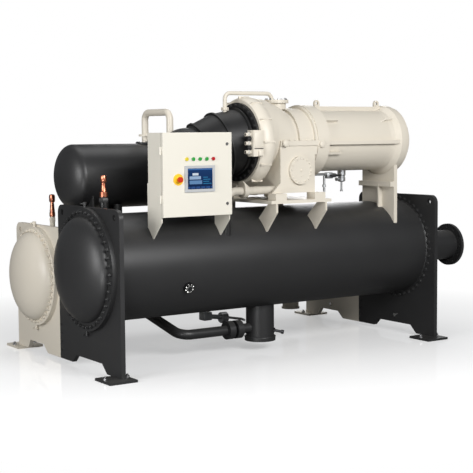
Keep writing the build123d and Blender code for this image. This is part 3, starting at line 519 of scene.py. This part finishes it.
class CHILLER_OT_finishes(Step):
    """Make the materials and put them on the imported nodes"""
    bl_idname = "chiller.finishes"
    bl_label = "Finishes"

    def build(self, scene):
        colours = scene.chiller_finish
        materials["black"] = painted("black_satin_paint", tuple(colours.black), 0.42, 0.10)
        # The suction header's finish is the black paint at under half its colour: painted shade, so it
        # looks darker than the other black parts
        materials["shaded_black"] = painted("suction_paint_painted_shade", shade(tuple(colours.black), 0.45), 0.50, 0.10)
        materials["cream"] = painted("cream_paint", tuple(colours.cream), 0.40, 0.03)
        materials["cabinet"] = painted("cabinet_powder_coat", tuple(colours.cabinet), 0.36, 0.02,
                                       900.0, 0.00012)
        materials["steel"] = bare_metal("plated_steel", tuple(colours.steel), 0.34)
        materials["copper"] = bare_metal("copper", tuple(colours.copper), 0.30)
        materials["yellow"] = moulded("yellow_ring", (0.86, 0.52, 0.02), 0.38)
        materials["red"] = moulded("red_button", (0.50, 0.03, 0.01), 0.25, 0.4)
        materials["rubber"] = moulded("black_rubber", (0.012, 0.012, 0.013), 0.5)
        materials["dark"] = bare_metal("dark_steel", (0.07, 0.07, 0.075), 0.38)
        materials["bright"] = bare_metal("bright_steel", (0.72, 0.72, 0.70), 0.22)
        materials["zinc"] = bare_metal("zinc_plate", (0.50, 0.51, 0.52), 0.45)
        materials["glass"] = moulded("sight_glass_lens", (0.006, 0.007, 0.008), 0.08, 0.6)
        materials["pale"] = moulded("pale_plastic", (0.55, 0.53, 0.48), 0.42)
        materials["grey"] = moulded("grey_plastic", (0.16, 0.165, 0.17), 0.42)
        materials["green"] = moulded("green_terminals", (0.03, 0.20, 0.07), 0.40)
        copper = tuple(colours.copper)
        materials["black_valve"] = two_tone("black_and_copper", "evaporator_relief_valve", 0.45,
                                            shade(tuple(colours.black), 0.6), copper)
        materials["cream_valve"] = two_tone("cream_and_copper", "condenser_relief_valve", 0.42,
                                            tuple(colours.cream), copper)
        materials["oil"] = two_tone("cream_over_black", "oil_line", 0.62, tuple(colours.black),
                                    tuple(colours.cream), high_metal=0.0)
        materials["lamps"] = lamp_finish()
        materials["screen"] = screen_finish()
        finish_of = {node: finish for finish, members in NODE_FINISH.items() for node in members}
        for name, node in nodes.items():
            node.data.materials.clear()
            node.data.materials.append(materials[finish_of.get(name, "cream")])


class CHILLER_OT_stage(Step):
    """Floor, soft lamps, white surround and the camera"""
    bl_idname = "chiller.stage"
    bl_label = "Studio"

    def build(self, scene):
        setup = scene.chiller_stage
        clear_selection()
        bpy.ops.mesh.primitive_grid_add(x_subdivisions=8, y_subdivisions=8,
                                        size=2 * setup.floor_half)
        floor = bpy.context.object
        floor.name = "studio_floor"
        finish = Finish("studio_floor")
        place = finish.place()
        far = finish.fit(finish.node("ShaderNodeVectorMath", {0: place}, output="Value",
                                     operation="LENGTH"), 1.8, 4.2)
        seen = finish.node("ShaderNodeLightPath", output="Is Camera Ray")
        body = finish.node("ShaderNodeBsdfPrincipled", {
            "Base Color": (0.80, 0.80, 0.80, 1.0), "Roughness": 0.05, "IOR": 1.34,
            "Emission Color": (1.0, 1.0, 1.0, 1.0), "Emission Strength": 0.36})
        glow = finish.node("ShaderNodeEmission", {"Color": (1.0, 1.0, 1.0, 1.0), "Strength": 1.0})
        dull = finish.node("ShaderNodeBsdfDiffuse", {"Color": (0.22, 0.22, 0.22, 1.0)})
        shown = finish.node("ShaderNodeMixShader", {0: far, 1: body, 2: glow})
        mixed = finish.node("ShaderNodeMixShader", {0: seen, 1: dull, 2: shown})
        finish.node("ShaderNodeOutputMaterial", {0: mixed})
        floor.data.materials.append(finish.material)

        world = bpy.data.worlds.new("studio")
        scene.world = world
        world.use_nodes = True
        tree = world.node_tree
        tree.nodes.clear()
        path = tree.nodes.new("ShaderNodeLightPath")
        white = tree.nodes.new("ShaderNodeBackground")
        white.inputs["Strength"].default_value = 1.0
        soft = tree.nodes.new("ShaderNodeBackground")
        soft.inputs["Color"].default_value = (0.93, 0.96, 1.0, 1.0)
        soft.inputs["Strength"].default_value = 0.16
        white.inputs["Color"].default_value = (1.0, 1.0, 1.0, 1.0)
        mix = tree.nodes.new("ShaderNodeMixShader")
        seen_world = tree.nodes.new("ShaderNodeMath")
        seen_world.operation = "MAXIMUM"
        end = tree.nodes.new("ShaderNodeOutputWorld")
        tree.links.new(path.outputs["Is Camera Ray"], seen_world.inputs[0])
        tree.links.new(path.outputs["Is Transmission Ray"], seen_world.inputs[1])
        tree.links.new(seen_world.outputs[0], mix.inputs[0])
        tree.links.new(soft.outputs[0], mix.inputs[1])
        tree.links.new(white.outputs[0], mix.inputs[2])
        tree.links.new(mix.outputs[0], end.inputs[0])

        lamps = (("key", (-0.5, -7.0, 3.9), (0.2, -0.3, 1.1), 5.0, 2.4, 480.0),
                 ("side", (-7.5, -2.0, 2.4), (0.0, 0.0, 0.9), 3.5, 2.6, 270.0),
                 ("top", (0.0, 0.8, 6.0), (0.0, 0.0, 1.0), 5.0, 3.0, 75.0),
                 ("back", (4.5, 5.5, 3.5), (0.0, 0.0, 1.0), 4.0, 3.0, 160.0),
                 ("under", (-3.6, -2.8, 0.28), (1.5, 0.6, 0.2), 0.9, 0.3, 26.0))
        for name, place, aim, width, height, power in lamps:
            clear_selection()
            bpy.ops.object.light_add(type="AREA", location=place)
            lamp = bpy.context.object
            lamp.name = f"studio_{name}"
            lamp.data.shape = "RECTANGLE"
            lamp.data.size = width
            lamp.data.size_y = height
            lamp.data.energy = power
            lamp.rotation_euler = (Vector(aim) - Vector(place)).to_track_quat("-Z", "Y").to_euler()

        scene.view_settings.view_transform = "Standard"
        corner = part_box("evaporator_tube_sheet_left")[0]
        eye = Vector((corner.x - 4.23695, corner.y - 7.91432, 1.87558))
        yaw, pitch, roll = radians(33.7736), radians(4.9503), radians(-0.4509)
        ahead = Vector((sin(yaw) * cos(pitch), cos(yaw) * cos(pitch), -sin(pitch)))
        side = Vector((cos(yaw), -sin(yaw), 0.0))
        up = side.cross(ahead)
        side, up = side * cos(roll) + up * sin(roll), up * cos(roll) - side * sin(roll)
        data = bpy.data.cameras.new("camera")
        data.lens = setup.lens
        data.sensor_width = 36.0
        camera = bpy.data.objects.new("camera", data)
        scene.collection.objects.link(camera)
        camera.matrix_world = Matrix((
            (side.x, up.x, -ahead.x, eye.x), (side.y, up.y, -ahead.y, eye.y),
            (side.z, up.z, -ahead.z, eye.z), (0, 0, 0, 1)))
        scene.camera = camera


# Fasteners

class CHILLER_OT_head_bolts(Step):
    """Bolts round the heads on both ends of the vessels"""
    bl_idname = "chiller.head_bolts"
    bl_label = "Head bolts"

    def build(self, scene):
        bolts = scene.chiller_bolts
        for vessel, finish, slot, count in (
                ("evaporator", "black", "black_paint", bolts.head_count),
                ("condenser", "cream", "cream_paint", bolts.cond_count)):
            for end, node, facing in (("left", f"{vessel}_head", -X),
                                      ("right", f"{vessel}_water_head", X)):
                low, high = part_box(node)
                radius = (high.y - low.y) / 2
                sheet_low, sheet_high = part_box(f"{vessel}_tube_sheet_{end}")
                face = (sheet_low.x - 0.040) if end == "left" else (sheet_high.x + 0.040)
                centre = (face, middle(low.y, high.y), middle(low.z, high.z))
                nuts = copies(stud_nut(bolts.head_r), ring_spots(centre, facing, radius - 0.033, count))
                settle(nuts, f"{vessel}_head_nuts_{end}", finish)
                inner = sheet_high.x if end == "left" else sheet_low.x
                back = (inner, centre[1], centre[2])
                heads = copies(hex_bolt(bolts.head_r), ring_spots(back, -facing, radius - 0.033, count))
                settle(heads, f"{vessel}_head_bolts_{end}", finish)


class CHILLER_OT_compressor_bolts(Step):
    """Bolts of the casing, its covers and the motor's rings"""
    bl_idname = "chiller.compressor_bolts"
    bl_label = "Compressor bolts"

    def build(self, scene):
        bolts = scene.chiller_bolts
        low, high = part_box("casing_cover")
        cover = Vector((middle(low.x, high.x), low.y, middle(low.z, high.z)))
        rim = (high.x - low.x) / 2
        heads = [copies(hex_bolt(bolts.cover_r), ring_spots(cover, -Y, rim - 0.017, 18)),
                 put(hex_bolt(bolts.cover_r * 1.15), cover, -Y),
                 put(hex_bolt(bolts.cover_r * 0.8), cover - Z * 0.045, -Y)]
        settle(joined(heads), "casing_cover_bolts", "cream")

        low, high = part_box("top_cover")
        lid = Vector((middle(low.x, high.x), middle(low.y, high.y), high.z))
        lid_r = (high.x - low.x) / 2
        studs = copies(stud_nut(bolts.cover_r * 1.15), ring_spots(lid, Z, lid_r - 0.018, 8))
        settle(studs, "top_cover_nuts", "steel")

        low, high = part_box("motor_ring")
        ring = Vector((high.x, middle(low.y, high.y), middle(low.z, high.z)))
        ring_r = (high.z - low.z) / 2
        screws = copies(hex_bolt(bolts.cover_r * 1.1), ring_spots(ring, X, ring_r - 0.022, 28))
        settle(screws, "motor_ring_bolts", "cream")

        low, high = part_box("motor_cover")
        end = Vector((high.x, middle(low.y, high.y), middle(low.z, high.z)))
        end_low, end_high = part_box("motor_barrel")
        screws = copies(hex_bolt(bolts.cover_r * 1.1),
                        ring_spots(Vector((end_high.x, end.y, end.z)), X, 0.292, 24))
        settle(screws, "motor_end_bolts", "cream")


class CHILLER_OT_foundation_bolts(Step):
    """Anchors through the foot plates"""
    bl_idname = "chiller.foundation_bolts"
    bl_label = "Foundation bolts"

    def build(self, scene):
        bolts = scene.chiller_bolts
        anchors = []
        for node in ("front_foot_plates", "rear_foot_plates"):
            low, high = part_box(node)
            half = 0.118
            for plate_x in (low.x + half, high.x - half):
                for side in (-0.095, 0.095):
                    anchors.append(spot((plate_x + side, middle(low.y, high.y), high.z), Z, side))
        settle(copies(stud_nut(0.018), anchors), "anchor_nuts", "steel")


# Fittings

class CHILLER_OT_vessel_fittings(Step):
    """Sight glass, vents and drains, earthing bosses and weld beads of the two vessels"""
    bl_idname = "chiller.vessel_fittings"
    bl_label = "Vessel fittings"

    def build(self, scene):
        low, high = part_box("sight_glass")
        shell_low, shell_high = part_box("evaporator_shell")
        axis_z = middle(shell_low.z, shell_high.z)
        axis_y = middle(shell_low.y, shell_high.y)
        window = (low + high) / 2
        facing = Vector((0, window.y - axis_y, window.z - axis_z)).normalized()
        shell_r = (shell_high.z - shell_low.z) / 2
        face = Vector((window.x, axis_y, axis_z)) + facing * (shell_r + 0.030)
        settle(copies(hex_bolt(0.0055), ring_spots(face, facing, 0.034, 8)),
               "sight_glass_screws", "bright")
        settle(turned([(0.0255, 0), (0.0255, 0.002), (0.022, 0.004)], face, facing, 28),
               "sight_glass_rim", "bright")
        settle(turned([(0.020, 0.003), (0.020, 0.0045), (0.012, 0.006)], face, facing, 28),
               "sight_glass_lens", "glass")

        for vessel, finish, slot in (("evaporator", "black", "black_paint"),
                                     ("condenser", "cream", "cream_paint")):
            low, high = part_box(f"{vessel}_shell")
            radius = (high.z - low.z) / 2
            middle_y, middle_z = middle(low.y, high.y), middle(low.z, high.z)
            beads = [turned([(radius + 0.009, 0), (radius + 0.007, 0.004), (radius + 0.001, 0.010)],
                            (end, middle_y, middle_z), facing, 72)
                     for end, facing in ((low.x, X), (high.x, -X))]
            settle(joined(beads), f"{vessel}_shell_welds", finish, angle=60)
            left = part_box(f"{vessel}_head")
            rim = (left[1].y - left[0].y) / 2
            vents = []
            for side in (1, -1):
                foot = Vector((-0.020 + left[1].x, middle_y, middle_z + side * (rim - 0.006)))
                vents.append(turned([(0.011, 0), (0.011, 0.030), (0.016, 0.030), (0.016, 0.045),
                                     (0.012, 0.050)], foot, Z * side, 12))
                vents.append(pipe([foot + Z * side * 0.036, foot + Z * side * 0.036 - X * 0.035],
                                  0.006, sides=8))
            settle(joined(vents), f"{vessel}_vent_and_drain", finish)

        bosses = []
        for node, across, up in (("evaporator_tube_sheet_right", 0.531, 0.061 + 0.10),
                                 ("condenser_tube_sheet_right", 0.438, 0.149)):
            low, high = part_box(node)
            foot = Vector((low.x, low.y + across, up))
            bosses.append(turned([(0.017, 0), (0.017, 0.010), (0.013, 0.012)], foot, -X, 20))
        settle(joined(bosses), "earthing_bosses", "bright")

        seam = []
        for node, facing in (("left", -X), ("right", -X)):
            low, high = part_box(f"evaporator_tube_sheet_{node}")
            for level in (0.10, 0.17, 0.24, 0.31):
                seam.append(spot((low.x, high.y - 0.028, level), facing, level * 9))
        settle(copies(hex_bolt(0.011), seam), "sheet_joint_bolts", "black")


class CHILLER_OT_relief_valves(Step):
    """Relief valves: flanged foot, hexagons, bonnet and outlet cap"""
    bl_idname = "chiller.relief_valves"
    bl_label = "Relief valves"

    def build(self, scene):
        for vessel, foot_finish, slot, share in (("evaporator", "black", "black_paint", 0.45),
                                                 ("condenser", "cream", "cream_paint", 0.42)):
            low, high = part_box(f"{vessel}_relief_valve")
            across, deep = middle(low.x, high.x), middle(low.y, high.y)
            half = (high.x - low.x) / 2
            split = low.z + share * (high.z - low.z)
            foot = [turned([(half * 1.5, 0), (half * 1.5, 0.012), (half * 1.4, 0.015)],
                           (across, deep, low.z + 0.02), Z, 28),
                    turned([(half * 1.12, 0), (half * 1.2, 0.006), (half * 1.2, 0.030),
                            (half * 1.12, 0.036)], (across, deep, split - 0.045), Z, 6, 0.4),
                    copies(hex_bolt(half * 0.20), ring_spots((across, deep, low.z + 0.035), Z,
                                                             half * 1.22, 6))]
            settle(joined(foot), f"{vessel}_valve_foot", foot_finish)
            tall = high.z - split
            top = [turned([(0.023, 0), (0.025, 0.006), (0.025, 0.034), (0.021, 0.040),
                           (0.019, tall * 0.45), (0.016, tall * 0.62), (0.016, tall * 0.68)],
                          (across, deep, split), Z, 24),
                   turned([(0.020, tall * 0.66), (0.025, tall * 0.70), (0.026, tall * 0.92),
                           (0.022, tall), (0.008, tall + 0.004)], (across, deep, split), Z, 24),
                   turned([(0.022, 0.036), (0.022, 0.052)], (across, deep, split), Z, 6, 0.3)]
            settle(joined(top), f"{vessel}_valve_bonnet", "copper")


class CHILLER_OT_compressor_fittings(Step):
    """Actuator glands, bosses, hook rod, drain, valve and thin lines round the compressor"""
    bl_idname = "chiller.compressor_fittings"
    bl_label = "Compressor fittings"

    def build(self, scene):
        low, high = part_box("vane_actuator")
        face = low.y
        block_low = low.x + 0.052
        parts = [panel((block_low + 0.012, face - 0.004, low.z + 0.075),
                       (high.x - 0.006, face + 0.004, high.z - 0.008), 0.0025),
                 panel((block_low + 0.045, face - 0.018, low.z + 0.004),
                       (high.x - 0.010, face + 0.006, low.z + 0.052), 0.006)]
        corners = [spot((across, face - 0.004, up), -Y)
                   for across in (block_low + 0.022, high.x - 0.016)
                   for up in (low.z + 0.086, high.z - 0.018)]
        parts.append(copies(hex_bolt(0.0045), corners))
        settle(joined(parts), "actuator_covers", "cream")
        dark = [panel((block_low + 0.010, face - 0.0015, low.z + 0.060),
                      (high.x - 0.002, face + 0.010, low.z + 0.068), 0.001)]
        deep = middle(low.y, high.y)
        for level in (low.z + 0.070, low.z + 0.142):
            dark.append(turned([(0.019, 0), (0.019, 0.030), (0.014, 0.036)],
                               (block_low, deep, level), -X, 16))
        settle(joined(dark), "actuator_gland_seals", "rubber")
        nuts = []
        for level in (low.z + 0.034, low.z + 0.106, low.z + 0.178):
            nuts.append(turned([(0.017, 0), (0.019, 0.003), (0.019, 0.016), (0.017, 0.019)],
                               (block_low - 0.012, deep, level), -X, 6, level))
            nuts.append(turned([(0.013, 0), (0.013, 0.016), (0.010, 0.022)],
                               (block_low - 0.030, deep, level), -X, 16))
        settle(joined(nuts), "actuator_gland_nuts", "pale")

        low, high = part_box("casing")
        ring_low, ring_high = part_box("motor_ring")
        split = 1.787
        bosses = [turned([(0.028, 0), (0.028, 0.016), (0.022, 0.022), (0.010, 0.024)], place, -Y, 20)
                  for place in (point(1.60, 0.084, split), point(1.99, 0.094, split - 0.012))]
        for across in (1.66, 1.72, 1.78, 1.84, 1.90):
            bosses.append(put(hex_bolt(0.009), point(across, 0.098, split + 0.021), Z, across))
        settle(joined(bosses), "split_flange_bosses", "cream")

        hook = pipe([point(2.715, 0.205, 1.955), point(2.79, 0.185, 1.992), point(2.90, 0.185, 2.000),
                     point(2.945, 0.205, 1.998)], 0.0075, 0.03, 10, 4)
        settle(hook, "motor_lead_rod", "cream", angle=60)

        drain = point(2.45, 0.40, 1.545)
        fitting = [turned([(0.036, 0), (0.036, 0.050), (0.030, 0.054), (0.030, 0.070), (0.034, 0.072),
                           (0.034, 0.100), (0.024, 0.108)], drain, -Z, 20),
                   turned([(0.0085, 0.100), (0.0085, 0.178), (0.012, 0.180), (0.012, 0.194)],
                          drain, -Z, 12),
                   turned([(0.012, 0), (0.012, 0.050), (0.016, 0.052), (0.016, 0.062)],
                          drain - Z * 0.085, -X, 12)]
        settle(joined(fitting), "motor_drain", "zinc")

        valve = point(2.235, 0.31, 1.500)
        body = [panel(valve + Vector((-0.034, -0.026, -0.026)), valve + Vector((0.034, 0.026, 0.026)),
                      0.008),
                pipe([valve + X * 0.030, valve + X * 0.085], 0.013, sides=12),
                turned([(0.019, 0), (0.019, 0.022), (0.015, 0.026)], valve + X * 0.052, X, 6),
                pipe([valve - X * 0.20 + Z * 0.012, valve - X * 0.030 + Z * 0.012], 0.011, sides=12),
                pipe([valve + Vector((-0.050, 0, 0)), valve + Vector((-0.050, 0, -0.185))], 0.010,
                     sides=12),
                turned([(0.016, 0), (0.016, 0.020), (0.012, 0.024)],
                       valve + Vector((-0.050, 0, -0.100)), Z, 6)]
        settle(joined(body), "oil_return_valve", "zinc")
        lever = [turned([(0.007, 0), (0.007, 0.030)], valve - Y * 0.026, -Y, 10),
                 panel(valve + Vector((-0.012, -0.060, -0.010)), valve + Vector((0.100, -0.050, 0.010)),
                       0.004)]
        settle(joined(lever), "oil_valve_lever", "rubber")
        low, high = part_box("oil_line")
        level = high.z - 0.032
        flange_x = point(1.243, 0, 0).x
        disc = [turned([(0.058, 0), (0.058, 0.012), (0.054, 0.015)],
                       (flange_x, middle(low.y, high.y), level), X, 24),
                copies(hex_bolt(0.008), ring_spots((flange_x + 0.014, middle(low.y, high.y), level), X,
                                                   0.044, 6))]
        settle(joined(disc), "oil_line_flange", "cream")
        elbows = [pipe([point(2.985, 0.74, 1.20), point(2.985, 0.74, 1.335), point(3.12, 0.74, 1.335),
                        point(3.12, 0.74, 1.12)], 0.030, 0.06, 16, 6),
                  pipe([point(0.49, 0.93, 1.12), point(0.49, 0.93, 1.352), point(0.49, 1.06, 1.352)],
                       0.034, 0.06, 16, 6)]
        settle(joined(elbows), "level_pipe_elbows", "black")


class CHILLER_OT_header_fittings(Step):
    """Suction header's flange bolts, and the upper pipes' flanges, bolts and nut"""
    bl_idname = "chiller.header_fittings"
    bl_label = "Header fittings"

    def build(self, scene):
        low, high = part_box("suction_cover")
        rim = (high.z - low.z) / 2
        centre = Vector((low.x, middle(low.y, high.y), middle(low.z, high.z)))
        settle(copies(hex_bolt(0.012), ring_spots(centre, -X, rim - 0.018, 28)),
               "suction_flange_bolts", "black")

        low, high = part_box("economizer_pipe")
        bolts, discs = [], []
        for side in (low.y + 0.045, high.y - 0.045):
            foot = Vector((middle(low.x, high.x), side, low.z))
            bolts += ring_spots(foot + Z * 0.012, Z, 0.066, 6)
            discs.append(turned([(0.078, 0), (0.078, 0.010), (0.075, 0.012)], foot, Z, 28))
        settle(joined(discs), "economizer_pipe_flanges", "black")
        settle(copies(hex_bolt(0.008), bolts), "economizer_pipe_bolts", "black")

        low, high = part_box("balance_pipe")
        foot = Vector((low.x + 0.017, middle(low.y, high.y), low.z + 0.012))
        nut = turned([(0.030, 0), (0.032, 0.003), (0.032, 0.024), (0.028, 0.028)], foot, Z, 6)
        settle(nut, "balance_pipe_nut", "cream")


class CHILLER_OT_underside(Step):
    """Float chamber's drain valve and weld, expansion valve and its thin line"""
    bl_idname = "chiller.underside"
    bl_label = "Underside"

    def build(self, scene):
        low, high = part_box("float_chamber")
        chamber = Vector((middle(low.x, high.x), middle(low.y, high.y), 0))
        stem = point(1.700, 0.470, 0.178)
        tip = point(1.800, 0.395, 0.152)
        way = (tip - stem).normalized()
        drain = [pipe([stem, tip], 0.012, sides=12),
                 turned([(0.022, 0), (0.022, 0.020), (0.018, 0.024)], stem + way * 0.03, way, 6),
                 turned([(0.018, 0), (0.018, 0.022), (0.013, 0.026)], tip - way * 0.02, way, 16)]
        settle(joined(drain), "chamber_drain_valve", "dark")
        settle(turned([(0.137, 0), (0.137, 0.006), (0.134, 0.008)],
                      (chamber.x, chamber.y, low.z + 0.030), Z, 48),
               "chamber_weld", "black", angle=60)

        left, right = point(1.40, 1.02, 0.250), point(1.60, 1.02, 0.222)
        body = [panel(left + Vector((-0.045, -0.045, -0.035)), left + Vector((0.045, 0.045, 0.040)),
                      0.010),
                pipe([left, right], 0.021, sides=14),
                turned([(0.046, 0), (0.050, 0.006), (0.050, 0.060), (0.044, 0.068)],
                       right - X * 0.045, X, 20),
                turned([(0.018, 0), (0.018, 0.050), (0.026, 0.052), (0.026, 0.066)],
                       left + Z * 0.03, Z, 6)]
        settle(joined(body), "expansion_valve", "zinc")
        thin = pipe([right, right + Vector((0.10, 0, -0.012)), point(1.56, 0.60, 0.262),
                     point(1.545, 0.52, 0.262)], 0.011, 0.03, 12, 4)
        settle(thin, "expansion_valve_line", "zinc", angle=60)


STEPS = (CHILLER_OT_finishes, CHILLER_OT_stage, CHILLER_OT_head_bolts,
         CHILLER_OT_compressor_bolts, CHILLER_OT_foundation_bolts, CHILLER_OT_vessel_fittings,
         CHILLER_OT_relief_valves, CHILLER_OT_compressor_fittings, CHILLER_OT_header_fittings,
         CHILLER_OT_underside)
GROUPS = (("chiller_finish", ChillerFinish), ("chiller_bolts", ChillerBolts),
          ("chiller_stage", ChillerStage))


class CHILLER_PT_panel(bpy.types.Panel):
    """The chiller's settings and steps"""
    bl_label = "Chiller"
    bl_idname = "CHILLER_PT_panel"
    bl_space_type = "VIEW_3D"
    bl_region_type = "UI"
    bl_category = "Chiller"

    def draw(self, context):
        for attribute, group in GROUPS:
            box = self.layout.box()
            for name in group.__annotations__:
                box.prop(getattr(context.scene, attribute), name)
        for step in STEPS:
            self.layout.operator(step.bl_idname)


CLASSES = (*(group for _, group in GROUPS), *STEPS, CHILLER_PT_panel)


def register():
    for item in CLASSES:
        bpy.utils.register_class(item)
    for attribute, group in GROUPS:
        setattr(bpy.types.Scene, attribute, PointerProperty(type=group))


def unregister():
    for attribute, _ in GROUPS:
        delattr(bpy.types.Scene, attribute)
    for item in reversed(CLASSES):
        bpy.utils.unregister_class(item)


def main():
    register()
    for step in STEPS:
        area, name = step.bl_idname.split(".")
        getattr(getattr(bpy.ops, area), name)()


if __name__ == "__main__":
    main()
